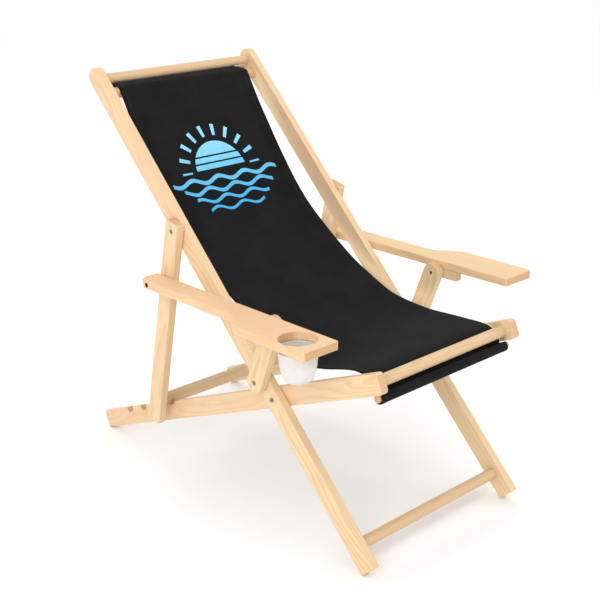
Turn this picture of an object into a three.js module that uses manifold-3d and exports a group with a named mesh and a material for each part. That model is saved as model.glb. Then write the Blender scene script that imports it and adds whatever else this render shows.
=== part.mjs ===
// Folding wooden beach chair with a fabric sling, two armrests and a cup hole.
// Millimetres, +Z up, origin on the ground under the middle of the opened chair.
// The sitter faces -Y, so the sitter's right hand is on the -X side.
import * as THREE from 'three';
import * as BufferGeometryUtils from 'three/addons/utils/BufferGeometryUtils.js';
import Module from 'manifold-3d';

const wasm = await Module();
wasm.setup();

// ---- Driving dimensions -------------------------------------------------

const RAIL_THICK = 19;          // across the chair
const RAIL_DEPTH = 43;          // in the side view
const LAYER_GAP = 1;            // running gap between neighbouring layers
const CONTACT_GAP = 0.3;        // gap between pieces that touch

const LONG_OUTER = 231;         // half width over the long rails
const BACK_ANGLE = 46;          // long rails above the ground, degrees
const WEDGE_ANGLE = 68.6;       // between the long rails and the seat rails
const PROP_ANGLE = 57;          // between the long rails and the props

// Along the long rails, measured from the main pivot towards the top.
const TOP_END = 858;
const FOOT_END = -397;
const FOOT_EASE = 2;            // rounding of the ends on the ground
const PIVOT_AHEAD_OF_MIDDLE = 195.5;
const TOP_DOWEL_AT = 831;
const REAR_DOWEL_AT = 795;
const REAR_DOWEL_SET_BACK = 8;
const FOOT_DOWEL_AT = -341;
const PROP_PIVOT_AT = 424.5;
const POST_PIVOT_AT = 47;

// Along the seat rails, measured from the main pivot towards the front.
const SEAT_FRONT_END = 308;
const FRONT_DOWEL_AT = 279;
const REST_NOTCH_AT = -413;
const NOTCH_PITCH = 63.5;
const NOTCH_COUNT = 4;
const NOTCH_LENGTH = 26;
const NOTCH_FLOOR = 9;          // height of the free notches' floor over the rail axis
const REST_FLOOR = 15.8;        // height of the floor that carries the crossbar
const STOP_FRONT = 16.4;        // the tooth behind the crossbar slopes up beneath its path
const STOP_REAR = 20;

// Props, measured down from their pivot.
const PROP_TOP_END = -22;
const PROP_FOOT_END = 497;
const BAR_AT = 450.5;
const BAR_HEIGHT = 25;
const BAR_DEPTH = 20;
const BAR_SET_BACK = 3.7;

// Armrest linkage. PROP_PIVOT_AT - POST_PIVOT_AT + ARM_DROP = ARM_REACH + POST_REACH,
// so that the arms and the posts fold flat along the long rails.
const ARM_DROP = 117.5;         // prop pivot to arm pivot
const POST_REACH = 150;         // lower to upper pivot of a post
const ARM_REACH = 345;          // arm pivot to post pivot

const ARM_THICK = 18.5;
const ARM_TOP_OVER_PIVOT = 27;  // top face over the post's upper pivot
const ARM_FRONT = 196;          // front edge ahead of the post's upper pivot
const ARM_REAR = 375;           // rear edge behind it
const ARM_NARROW = 52;
const ARM_WIDE = 90;
const ARM_FLARE_FRONT = -14;    // where the flare reaches full width
const ARM_FLARE_REAR = 70;      // where it starts
const CUP_RADIUS = 38;
const CUP_BEHIND_FRONT = 63;
const COUNTERBORE_RADIUS = 5.4;
const COUNTERBORE_DEPTH = 22;
const NET_RADIUS_TOP = 39;
const NET_DEPTH = 70;

const BLOCK_LENGTH = 74;
const BLOCK_HEIGHT = 21;
const BLOCK_THICK = 18;
const BLOCK_AHEAD = 57;         // front end ahead of the post's upper pivot

const BIG_DOWEL_RADIUS = 12.5;
const TOP_DOWEL_RADIUS = 11;
const ROD_RADIUS = 7.5;
const TENON_DEPTH = 11;
const SLING_HALF_WIDTH = 189;
const SLING_THICK = 1.6;

const SHANK_RADIUS = 3;
const BORE_RADIUS = 3.6;
const HEAD_RADIUS = 4.8;
const HEAD_HEIGHT = 2.8;

// ---- Derived places -----------------------------------------------------

const rad = THREE.MathUtils.degToRad;
const HALF_DEPTH = RAIL_DEPTH / 2;
const SEAT_SLOPE = WEDGE_ANGLE - BACK_ANGLE;

// A rounded rail end stands on the ground a little inside the square end it is cut from.
function footLift(angle) {
  const a = rad(angle);
  return HALF_DEPTH * Math.cos(a) - FOOT_EASE * (Math.sin(a) + Math.cos(a) - 1);
}
const PIVOT_HEIGHT = -FOOT_END * Math.sin(rad(BACK_ANGLE)) + footLift(BACK_ANGLE);
const SEAT_REAR_END = (PIVOT_HEIGHT - footLift(SEAT_SLOPE)) / Math.sin(rad(SEAT_SLOPE));

const LONG_INNER = LONG_OUTER - RAIL_THICK;
const SEAT_OUTER = LONG_INNER - LAYER_GAP;
const SEAT_INNER = SEAT_OUTER - RAIL_THICK;
const PROP_INNER = LONG_OUTER + LAYER_GAP;
const PROP_OUTER = PROP_INNER + RAIL_THICK;
const ARM_INNER = PROP_OUTER + LAYER_GAP;

// A point given along and across a line that starts at `from` and rises at `angle` degrees.
function along(from, angle, distance, across = 0) {
  const c = Math.cos(rad(angle));
  const s = Math.sin(rad(angle));
  return { y: from.y + distance * c - across * s, z: from.z + distance * s + across * c };
}

const PIVOT = { y: -PIVOT_AHEAD_OF_MIDDLE, z: PIVOT_HEIGHT };
const PROP_PIVOT = along(PIVOT, BACK_ANGLE, PROP_PIVOT_AT);
const POST_PIVOT = along(PIVOT, BACK_ANGLE, POST_PIVOT_AT);
const PROP_DIRECTION = BACK_ANGLE + 180 + PROP_ANGLE;
const ARM_PIVOT = along(PROP_PIVOT, PROP_DIRECTION, ARM_DROP);

// The forward meeting point of two circles in the side view.
function meetForward(a, radiusA, b, radiusB) {
  const dy = b.y - a.y;
  const dz = b.z - a.z;
  const span = Math.hypot(dy, dz);
  const reach = (radiusA ** 2 - radiusB ** 2 + span ** 2) / (2 * span);
  const side = Math.sqrt(radiusA ** 2 - reach ** 2);
  const direction = THREE.MathUtils.radToDeg(Math.atan2(dz, dy));
  return along(a, direction, reach, side);
}
const POST_TOP_PIVOT = meetForward(POST_PIVOT, POST_REACH, ARM_PIVOT, ARM_REACH);
const POST_DIRECTION = degreesBetween(POST_PIVOT, POST_TOP_PIVOT);

// The arm pivot lies in the middle of the plate's thickness, so the plate turns from the
// line between its two pivots by the angle of that rise.
const ARM_UNDERSIDE = ARM_TOP_OVER_PIVOT - ARM_THICK;
const ARM_RISE = ARM_UNDERSIDE + ARM_THICK / 2;
const ARM_PIVOT_BEHIND = Math.sqrt(ARM_REACH ** 2 - ARM_RISE ** 2);
const ARM_TILT = THREE.MathUtils.radToDeg(Math.asin(ARM_RISE / ARM_REACH));
const ARM_ANGLE = degreesBetween(POST_TOP_PIVOT, ARM_PIVOT) - ARM_TILT;

function degreesBetween(a, b) {
  return THREE.MathUtils.radToDeg(Math.atan2(b.z - a.z, b.y - a.y));
}

// ---- Materials ----------------------------------------------------------

function material(color, roughness, metalness = 0) {
  return new THREE.MeshStandardMaterial({ color, roughness, metalness });
}
const pine = () => material(0xf1d8ae, 0.62);
const dowelWood = () => material(0xe9c793, 0.6);
const canvas = () => material(0x232325, 0.9);
const steel = () => material(0x77756f, 0.38, 1);
const netting = () => material(0xf1f0ec, 0.8);

// ---- Geometry helpers ---------------------------------------------------

// Shape X, Y and depth become a group's Y, Z and X.
const SIDE_VIEW = new THREE.Matrix4().makeBasis(
  new THREE.Vector3(0, 1, 0),
  new THREE.Vector3(0, 0, 1),
  new THREE.Vector3(1, 0, 0),
);

function sideExtrusion(shape, xFrom, xTo, curveSegments = 8) {
  const settings = { depth: Math.abs(xTo - xFrom), bevelEnabled: false, curveSegments };
  const geometry = new THREE.ExtrudeGeometry(shape, settings);
  geometry.applyMatrix4(SIDE_VIEW);
  geometry.translate(Math.min(xFrom, xTo), 0, 0);
  return geometry;
}

// A hole runs the opposite way round to its outline.
function circleHole(x, y, radius, clockwise = true) {
  const hole = new THREE.Path();
  hole.absarc(x, y, radius, 0, 2 * Math.PI, clockwise);
  return hole;
}

// A cylinder along X from xFrom to xTo, at (y, z).
function crossCylinder(radius, xFrom, xTo, y = 0, z = 0, sides = 24) {
  const geometry = new THREE.CylinderGeometry(radius, radius, Math.abs(xTo - xFrom), sides);
  geometry.rotateZ(Math.PI / 2);
  geometry.translate((xFrom + xTo) / 2, y, z);
  return geometry;
}

function toManifold(geometry) {
  const bare = geometry.clone();
  bare.deleteAttribute('normal');
  bare.deleteAttribute('uv');
  const merged = BufferGeometryUtils.mergeVertices(bare, 1e-4);
  const vertProperties = new Float32Array(merged.attributes.position.array);
  const triVerts = new Uint32Array(merged.index.array);
  return new wasm.Manifold(new wasm.Mesh({ numProp: 3, vertProperties, triVerts }));
}

function toGeometry(solid) {
  const mesh = solid.getMesh();
  const geometry = new THREE.BufferGeometry();
  geometry.setAttribute('position', new THREE.BufferAttribute(mesh.vertProperties, 3));
  geometry.setIndex(new THREE.BufferAttribute(mesh.triVerts, 1));
  const faceted = geometry.toNonIndexed();
  faceted.computeVertexNormals();
  return faceted;
}

function cut(geometry, cutters) {
  let solid = toManifold(geometry);
  for (const cutter of cutters) {
    solid = solid.subtract(toManifold(cutter));
  }
  return toGeometry(solid);
}

function join(geometries) {
  let solid = toManifold(geometries[0]);
  for (const geometry of geometries.slice(1)) {
    solid = solid.add(toManifold(geometry));
  }
  return toGeometry(solid);
}

// ---- Groups: one per moving frame, drawn in its own side view -------------

function frameGroup(at, angle) {
  const group = new THREE.Group();
  group.position.set(0, at.y, at.z);
  group.rotation.x = rad(angle);
  return group;
}
const chair = new THREE.Group();
const longFrame = frameGroup(PIVOT, BACK_ANGLE);
const seatFrame = frameGroup(PIVOT, -SEAT_SLOPE);
const propFrame = frameGroup(PROP_PIVOT, PROP_DIRECTION);
const postFrame = frameGroup(POST_PIVOT, POST_DIRECTION);
const armFrame = frameGroup(POST_TOP_PIVOT, ARM_ANGLE);
chair.add(longFrame, seatFrame, propFrame, postFrame, armFrame);

function place(group, name, geometry, look) {
  const mesh = new THREE.Mesh(geometry, look);
  mesh.name = name;
  group.add(mesh);
}

const SIDES = [
  { name: 'right', sign: -1 },
  { name: 'left', sign: 1 },
];

// ---- Wooden outlines in the side view --------------------------------------

// A straight rail from `from` to `to` with its own corner radius at each end.
function railShape(from, to, radiusFrom, radiusTo) {
  const shape = new THREE.Shape();
  shape.moveTo(from + radiusFrom, -HALF_DEPTH);
  shape.lineTo(to - radiusTo, -HALF_DEPTH);
  shape.absarc(to - radiusTo, -HALF_DEPTH + radiusTo, radiusTo, -Math.PI / 2, 0);
  shape.absarc(to - radiusTo, HALF_DEPTH - radiusTo, radiusTo, 0, Math.PI / 2);
  shape.lineTo(from + radiusFrom, HALF_DEPTH);
  shape.absarc(from + radiusFrom, HALF_DEPTH - radiusFrom, radiusFrom, Math.PI / 2, Math.PI);
  shape.absarc(from + radiusFrom, -HALF_DEPTH + radiusFrom, radiusFrom, Math.PI, 1.5 * Math.PI);
  return shape;
}

// The seat rail, with Y running back from the pivot and the notches in its rear top edge.
function seatRailShape() {
  const front = -SEAT_FRONT_END;
  const rear = SEAT_REAR_END;
  const frontRadius = 9;
  const shape = new THREE.Shape();
  shape.moveTo(front + frontRadius, -HALF_DEPTH);
  shape.lineTo(rear - FOOT_EASE, -HALF_DEPTH);
  shape.absarc(rear - FOOT_EASE, -HALF_DEPTH + FOOT_EASE, FOOT_EASE, -Math.PI / 2, 0);
  shape.absarc(rear - FOOT_EASE, HALF_DEPTH - FOOT_EASE, FOOT_EASE, 0, Math.PI / 2);
  addNotches(shape);
  shape.absarc(front + frontRadius, HALF_DEPTH - frontRadius, frontRadius, Math.PI / 2, Math.PI);
  shape.absarc(front + frontRadius, -HALF_DEPTH + frontRadius, frontRadius, Math.PI, 1.5 * Math.PI);
  return shape;
}

// Walks forward along the top edge, from the rearmost notch to the one in use.
function addNotches(shape) {
  for (let i = NOTCH_COUNT - 1; i > 0; i -= 1) {
    const centre = -REST_NOTCH_AT + i * NOTCH_PITCH;
    const frontTop = i === 1 ? STOP_REAR : HALF_DEPTH;
    shape.lineTo(centre + NOTCH_LENGTH / 2, HALF_DEPTH);
    shape.lineTo(centre + NOTCH_LENGTH / 2 - 3, NOTCH_FLOOR);
    shape.lineTo(centre - NOTCH_LENGTH / 2 + 3, NOTCH_FLOOR);
    shape.lineTo(centre - NOTCH_LENGTH / 2, frontTop);
  }
  const frontWall = -REST_NOTCH_AT - NOTCH_LENGTH / 2;
  shape.lineTo(-REST_NOTCH_AT + NOTCH_LENGTH / 2, STOP_FRONT);
  shape.lineTo(-REST_NOTCH_AT + NOTCH_LENGTH / 2 - 2, REST_FLOOR);
  shape.lineTo(frontWall, REST_FLOOR);
  shape.lineTo(frontWall, HALF_DEPTH - 6);
  shape.absarc(frontWall - 6, HALF_DEPTH - 6, 6, 0, Math.PI / 2);
}

// ---- Round pieces and holes -------------------------------------------------

// The blind hole that a dowel's end is glued into.
function socket(inner, side, radius, y, z = 0) {
  const bottom = inner + side.sign * (TENON_DEPTH + CONTACT_GAP);
  return crossCylinder(radius + CONTACT_GAP, inner - side.sign, bottom, y, z);
}

function dowel(group, name, radius, innerFace, y, z = 0) {
  const end = innerFace + TENON_DEPTH;
  place(group, name, crossCylinder(radius, -end, end, y, z), dowelWood());
}

// A recess for a flush head, cut into a face at xFace that looks outwards.
function headRecess(side, xFace, y, z = 0) {
  const bottom = side.sign * (xFace - HEAD_HEIGHT - CONTACT_GAP);
  return crossCylinder(HEAD_RADIUS + CONTACT_GAP, bottom, side.sign * (xFace + 1), y, z);
}

// A round-headed bolt along X. The head's outer face is at xHead, the shank ends at xTip,
// and a nut as large as the head sits at the tip when nutAt is given.
function bolt(side, xHead, xTip, y, z = 0, nutAt = null) {
  const pieces = [
    crossCylinder(SHANK_RADIUS, side.sign * (xHead - 0.5), side.sign * xTip, y, z, 16),
    crossCylinder(HEAD_RADIUS, side.sign * xHead, side.sign * (xHead - HEAD_HEIGHT), y, z, 24),
  ];
  if (nutAt !== null) {
    pieces.push(crossCylinder(HEAD_RADIUS, side.sign * nutAt, side.sign * (nutAt - HEAD_HEIGHT), y, z, 6));
  }
  return join(pieces);
}

// ---- Long frame: back rails that run on as the front legs -------------------

function longRail(side) {
  const shape = railShape(FOOT_END, TOP_END, FOOT_EASE, HALF_DEPTH - 0.5);
  for (const y of [0, PROP_PIVOT_AT, POST_PIVOT_AT]) {
    shape.holes.push(circleHole(y, 0, BORE_RADIUS));
  }
  const inner = side.sign * LONG_INNER;
  return cut(sideExtrusion(shape, inner, side.sign * LONG_OUTER), [
    socket(inner, side, TOP_DOWEL_RADIUS, TOP_DOWEL_AT),
    socket(inner, side, BIG_DOWEL_RADIUS, REAR_DOWEL_AT, -REAR_DOWEL_SET_BACK),
    socket(inner, side, BIG_DOWEL_RADIUS, FOOT_DOWEL_AT),
  ]);
}

dowel(longFrame, 'top_dowel', TOP_DOWEL_RADIUS, LONG_INNER, TOP_DOWEL_AT);
dowel(longFrame, 'rear_dowel', BIG_DOWEL_RADIUS, LONG_INNER, REAR_DOWEL_AT, -REAR_DOWEL_SET_BACK);
dowel(longFrame, 'foot_dowel', BIG_DOWEL_RADIUS, LONG_INNER, FOOT_DOWEL_AT);

for (const side of SIDES) {
  const tip = LONG_INNER + 1;
  const seatNut = SEAT_INNER - CONTACT_GAP;
  const mainBolt = bolt(side, LONG_OUTER + CONTACT_GAP + HEAD_HEIGHT, seatNut - 1, 0, 0, seatNut);
  place(longFrame, `long_rail_${side.name}`, longRail(side), pine());
  place(longFrame, `main_bolt_${side.name}`, mainBolt, steel());
  place(longFrame, `prop_bolt_${side.name}`, bolt(side, PROP_OUTER, tip, PROP_PIVOT_AT), steel());
  place(longFrame, `post_bolt_${side.name}`, bolt(side, PROP_OUTER, tip, POST_PIVOT_AT), steel());
}

// ---- Seat frame ---------------------------------------------------------

function seatRail(side) {
  const shape = seatRailShape();
  shape.holes.push(circleHole(0, 0, BORE_RADIUS));
  const inner = side.sign * SEAT_INNER;
  const rail = sideExtrusion(shape, inner, side.sign * SEAT_OUTER);
  return cut(rail, [socket(inner, side, BIG_DOWEL_RADIUS, -FRONT_DOWEL_AT)]);
}

for (const side of SIDES) {
  place(seatFrame, `seat_rail_${side.name}`, seatRail(side), pine());
}
dowel(seatFrame, 'front_dowel', BIG_DOWEL_RADIUS, SEAT_INNER, -FRONT_DOWEL_AT);

// ---- Prop frame ---------------------------------------------------------

const BAR_END = PROP_INNER - CONTACT_GAP;
const BAR_BORE_RADIUS = 2.6;
const BAR_SCREW_RADIUS = 2.2;
const BAR_SCREW_LENGTH = 42;

function propRail(side) {
  const shape = railShape(PROP_TOP_END, PROP_FOOT_END, 3, 5);
  shape.holes.push(circleHole(0, 0, BORE_RADIUS));
  shape.holes.push(circleHole(BAR_AT, BAR_SET_BACK, BAR_BORE_RADIUS));
  const rail = sideExtrusion(shape, side.sign * PROP_INNER, side.sign * PROP_OUTER);
  return cut(rail, [headRecess(side, PROP_OUTER, 0)]);
}

function crossbar() {
  const shape = new THREE.Shape();
  const ease = 2.5;
  const top = BAR_AT - BAR_HEIGHT / 2 + ease;
  const bottom = BAR_AT + BAR_HEIGHT / 2 - ease;
  const front = BAR_SET_BACK - BAR_DEPTH / 2 + ease;
  const rear = BAR_SET_BACK + BAR_DEPTH / 2 - ease;
  shape.moveTo(top, front - ease);
  shape.absarc(bottom, front, ease, -Math.PI / 2, 0);
  shape.absarc(bottom, rear, ease, 0, Math.PI / 2);
  shape.absarc(top, rear, ease, Math.PI / 2, Math.PI);
  shape.absarc(top, front, ease, Math.PI, 1.5 * Math.PI);
  const screwTip = PROP_OUTER - BAR_SCREW_LENGTH - 1;
  const holes = SIDES.map((side) => crossCylinder(
    BAR_BORE_RADIUS, side.sign * screwTip, side.sign * (BAR_END + 1), BAR_AT, BAR_SET_BACK, 16,
  ));
  return cut(sideExtrusion(shape, -BAR_END, BAR_END, 4), holes);
}

for (const side of SIDES) {
  const screw = crossCylinder(
    BAR_SCREW_RADIUS, side.sign * (PROP_OUTER - BAR_SCREW_LENGTH), side.sign * (PROP_OUTER - 0.5),
    BAR_AT, BAR_SET_BACK, 12,
  );
  place(propFrame, `prop_rail_${side.name}`, propRail(side), pine());
  place(propFrame, `crossbar_screw_${side.name}`, screw, steel());
}
place(propFrame, 'prop_crossbar', crossbar(), dowelWood());

// ---- Posts --------------------------------------------------------------

function post(side) {
  const shape = railShape(-HALF_DEPTH, POST_REACH + HALF_DEPTH, HALF_DEPTH - 0.5, HALF_DEPTH - 0.5);
  shape.holes.push(circleHole(0, 0, BORE_RADIUS));
  shape.holes.push(circleHole(POST_REACH, 0, BORE_RADIUS));
  const bar = sideExtrusion(shape, side.sign * PROP_INNER, side.sign * PROP_OUTER);
  return cut(bar, [headRecess(side, PROP_OUTER, 0)]);
}

for (const side of SIDES) {
  place(postFrame, `post_${side.name}`, post(side), pine());
}

// ---- Armrests -----------------------------------------------------------

const CUP_FROM_INNER = ARM_WIDE / 2 + 1;
const CUP_Y = -ARM_FRONT + CUP_BEHIND_FRONT;
const SCREW_PLACES = [-46, -22];
const BLOCK_SCREW_RADIUS = 2;
const BLOCK_SCREW_DEPTH = 12;

// Plan view of an armrest on one side of the chair.
function armShape(side) {
  const x = (fromInner) => side.sign * (ARM_INNER + fromInner);
  const front = -ARM_FRONT;
  const corner = 9;
  const rearCorner = 26;
  const shape = new THREE.Shape();
  shape.moveTo(x(0), front + 4);
  shape.quadraticCurveTo(x(0), front, x(4), front);
  shape.lineTo(x(ARM_WIDE - corner), front);
  shape.quadraticCurveTo(x(ARM_WIDE), front, x(ARM_WIDE), front + corner);
  shape.lineTo(x(ARM_WIDE), ARM_FLARE_FRONT);
  shape.bezierCurveTo(
    x(ARM_WIDE), ARM_FLARE_FRONT + 42,
    x(ARM_NARROW), ARM_FLARE_REAR - 42,
    x(ARM_NARROW), ARM_FLARE_REAR,
  );
  shape.lineTo(x(ARM_NARROW), ARM_REAR - rearCorner);
  shape.bezierCurveTo(
    x(ARM_NARROW), ARM_REAR - 8,
    x(ARM_NARROW - 14), ARM_REAR,
    x(ARM_NARROW - rearCorner), ARM_REAR,
  );
  shape.lineTo(x(5), ARM_REAR);
  shape.quadraticCurveTo(x(0), ARM_REAR, x(0), ARM_REAR - 5);
  return shape;
}

function armrest(side, hasCup) {
  const shape = armShape(side);
  if (hasCup) {
    const cupX = side.sign * (ARM_INNER + CUP_FROM_INNER);
    shape.holes.push(circleHole(cupX, CUP_Y, CUP_RADIUS, side.sign > 0));
  }
  const settings = { depth: ARM_THICK, bevelEnabled: false, curveSegments: 12 };
  const plate = new THREE.ExtrudeGeometry(shape, settings);
  plate.translate(0, 0, ARM_UNDERSIDE);
  const outer = ARM_INNER + ARM_NARROW;
  const boreFrom = side.sign * (ARM_INNER - 1);
  const recessFrom = side.sign * (outer - COUNTERBORE_DEPTH);
  return cut(plate, [
    crossCylinder(BORE_RADIUS, boreFrom, side.sign * outer, ARM_PIVOT_BEHIND, ARM_RISE),
    crossCylinder(COUNTERBORE_RADIUS, recessFrom, side.sign * (outer + 1), ARM_PIVOT_BEHIND, ARM_RISE),
    ...blockScrewHoles(side),
  ]);
}

// The block that hangs under the arm, outside the post, and carries the post's bolt.
function hingeBlock(side) {
  const block = new THREE.BoxGeometry(BLOCK_THICK, BLOCK_LENGTH, BLOCK_HEIGHT);
  const top = ARM_UNDERSIDE - CONTACT_GAP;
  block.translate(
    side.sign * (ARM_INNER + BLOCK_THICK / 2),
    BLOCK_LENGTH / 2 - BLOCK_AHEAD,
    top - BLOCK_HEIGHT / 2,
  );
  const bore = crossCylinder(
    BORE_RADIUS, side.sign * (ARM_INNER - 1), side.sign * (ARM_INNER + BLOCK_THICK + 1),
  );
  return cut(block, [bore, ...blockScrewHoles(side)]);
}

function uprightCylinder(radius, side, y, zFrom, zTo, sides) {
  const geometry = new THREE.CylinderGeometry(radius, radius, zTo - zFrom, sides);
  geometry.rotateX(Math.PI / 2);
  geometry.translate(side.sign * (ARM_INNER + BLOCK_THICK / 2), y, (zFrom + zTo) / 2);
  return geometry;
}

function blockScrewHoles(side) {
  const from = ARM_UNDERSIDE - BLOCK_HEIGHT - 1;
  const to = ARM_UNDERSIDE + BLOCK_SCREW_DEPTH + 0.5;
  return SCREW_PLACES.map((y) => uprightCylinder(BLOCK_SCREW_RADIUS + 0.3, side, y, from, to, 16));
}

function blockScrew(side, y) {
  const underside = ARM_UNDERSIDE - CONTACT_GAP - BLOCK_HEIGHT - CONTACT_GAP;
  const tip = ARM_UNDERSIDE + BLOCK_SCREW_DEPTH;
  return join([
    uprightCylinder(BLOCK_SCREW_RADIUS, side, y, underside - 1, tip, 12),
    uprightCylinder(2 * BLOCK_SCREW_RADIUS, side, y, underside - 1.6, underside, 16),
  ]);
}

for (const side of SIDES) {
  const hasCup = side.name === 'right';
  const blockOuter = ARM_INNER + BLOCK_THICK;
  const upperBolt = bolt(side, blockOuter + CONTACT_GAP + HEAD_HEIGHT, PROP_INNER + 1, 0);
  const armHead = ARM_INNER + ARM_NARROW - COUNTERBORE_DEPTH + CONTACT_GAP + HEAD_HEIGHT;
  const armBolt = bolt(
    side, armHead, ARM_INNER + 0.5, ARM_PIVOT_BEHIND, ARM_RISE,
  );
  place(armFrame, `armrest_${side.name}`, armrest(side, hasCup), pine());
  place(armFrame, `hinge_block_${side.name}`, hingeBlock(side), pine());
  place(armFrame, `block_bolt_${side.name}`, upperBolt, steel());
  place(armFrame, `arm_bolt_${side.name}`, armBolt, steel());
  for (const [index, y] of SCREW_PLACES.entries()) {
    const end = index === 0 ? 'front' : 'rear';
    place(armFrame, `block_screw_${end}_${side.name}`, blockScrew(side, y), steel());
  }
}

// ---- Cup net under the hole ------------------------------------------------

const NET_WALL = 1.4;
const HOOP_WIRE_RADIUS = 1.6;

// The net narrows a little on the way down and ends in a round bottom.
function cupNet() {
  const outline = new THREE.Path();
  outline.moveTo(NET_RADIUS_TOP, 0);
  outline.lineTo(NET_RADIUS_TOP - 2.5, -NET_DEPTH * 0.45);
  outline.bezierCurveTo(
    NET_RADIUS_TOP - 5, -NET_DEPTH * 0.8,
    NET_RADIUS_TOP - 10, -NET_DEPTH,
    NET_RADIUS_TOP - 24, -NET_DEPTH,
  );
  const outer = outline.getPoints(6);
  const inner = outer.map((p) => new THREE.Vector2(p.x - NET_WALL, p.y + NET_WALL * (p.y < -1 ? 1 : 0)));
  const profile = [
    new THREE.Vector2(0, -NET_DEPTH),
    ...outer.reverse(),
    ...inner,
    new THREE.Vector2(0, -NET_DEPTH + NET_WALL),
  ];
  const geometry = new THREE.LatheGeometry(profile, 32);
  geometry.rotateX(Math.PI / 2);
  return toGeometry(toManifold(geometry));
}

function placeUnderCup(name, geometry, look, below) {
  geometry.translate(-(ARM_INNER + CUP_FROM_INNER), CUP_Y, ARM_UNDERSIDE - below);
  place(armFrame, name, geometry, look);
}
placeUnderCup('cup_net', cupNet(), netting(), CONTACT_GAP);
placeUnderCup(
  'cup_net_hoop',
  new THREE.TorusGeometry(NET_RADIUS_TOP + CONTACT_GAP + HOOP_WIRE_RADIUS + 0.2, HOOP_WIRE_RADIUS, 8, 32),
  steel(),
  CONTACT_GAP + HOOP_WIRE_RADIUS,
);

// ---- Sling and its two loose rods --------------------------------------------

// A strip of cloth that follows a line of points in the side view.
function slingStrip(points) {
  const half = SLING_THICK / 2;
  const upper = [];
  const lower = [];
  for (const [index, point] of points.entries()) {
    const before = points[Math.max(index - 1, 0)];
    const after = points[Math.min(index + 1, points.length - 1)];
    const normal = new THREE.Vector2(before.y - after.y, after.x - before.x).normalize();
    upper.push(point.clone().addScaledVector(normal, half));
    lower.push(point.clone().addScaledVector(normal, -half));
  }
  const shape = new THREE.Shape([...lower, ...upper.reverse()]);
  return sideExtrusion(shape, -SLING_HALF_WIDTH, SLING_HALF_WIDTH);
}

const WRAP_RADIUS = ROD_RADIUS + CONTACT_GAP + SLING_THICK / 2;

// Points around a rod, from one direction to another in degrees.
function wrap(centre, radius, from, to, steps) {
  const points = [];
  for (let i = 0; i <= steps; i += 1) {
    const a = rad(from + ((to - from) * i) / steps);
    points.push(new THREE.Vector2(centre.x + radius * Math.cos(a), centre.y + radius * Math.sin(a)));
  }
  return points;
}

function smooth(points, steps) {
  return new THREE.SplineCurve(points).getPoints(steps);
}

// The loose rods bear on the far side of their rails, so they are longer than the gap between.
// The front one sits a little towards the sitter's right.
const TOP_ROD = new THREE.Vector2(828, -HALF_DEPTH - ROD_RADIUS - 1);
const FRONT_ROD = new THREE.Vector2(-280, -HALF_DEPTH - ROD_RADIUS - 1);

function rod(group, name, at, low, high) {
  place(group, name, crossCylinder(ROD_RADIUS, low, high, at.x, at.y), dowelWood());
}
rod(longFrame, 'top_rod', TOP_ROD, 13 - LONG_OUTER, LONG_OUTER - 13);
rod(seatFrame, 'front_rod', FRONT_ROD, 9 - SEAT_OUTER, SEAT_INNER + 2);

function vectors(pairs) {
  return pairs.map(([x, y]) => new THREE.Vector2(x, y));
}

// Down the back: round the rod, between the two upper dowels, then a slack curve that
// hangs behind the long rails. Points are along and across the long rails.
const rearDowelWrap = BIG_DOWEL_RADIUS + CONTACT_GAP + SLING_THICK / 2;
const rearDowelCentre = new THREE.Vector2(REAR_DOWEL_AT, -REAR_DOWEL_SET_BACK);
const backSag = vectors([
  [774, 0], [718, -13], [609, -31], [499, -43], [375, -38], [243, -7], [168, 22], [90, 68],
]);
const backLine = [
  ...wrap(TOP_ROD, WRAP_RADIUS, -190, 49, 10),
  ...wrap(rearDowelCentre, rearDowelWrap, 49, 100, 3),
  ...smooth(backSag, 20),
];
place(longFrame, 'sling_back', slingStrip(backLine), canvas());

// Under the thighs: from the back's lower edge, behind the front dowel, round the front rod.
// Points are behind the pivot and above the seat rails' axis.
const seatSag = vectors([
  [-33, 105], [-94, 77], [-153, 56], [-225, 30], [-252, 18], [-263, 4], [-267, -14],
]);
const seatLine = [
  ...smooth(seatSag, 18),
  ...wrap(FRONT_ROD, WRAP_RADIUS, -5, -240, 10),
];
place(seatFrame, 'sling_seat', slingStrip(seatLine), canvas());

export default chair;
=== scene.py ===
"""Folding beach chair: bevelled pine, a hung canvas sling, a cup net and steel bolts."""
import math

import bmesh
import bpy
from mathutils import Matrix, Vector
from mathutils.geometry import tessellate_polygon

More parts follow.
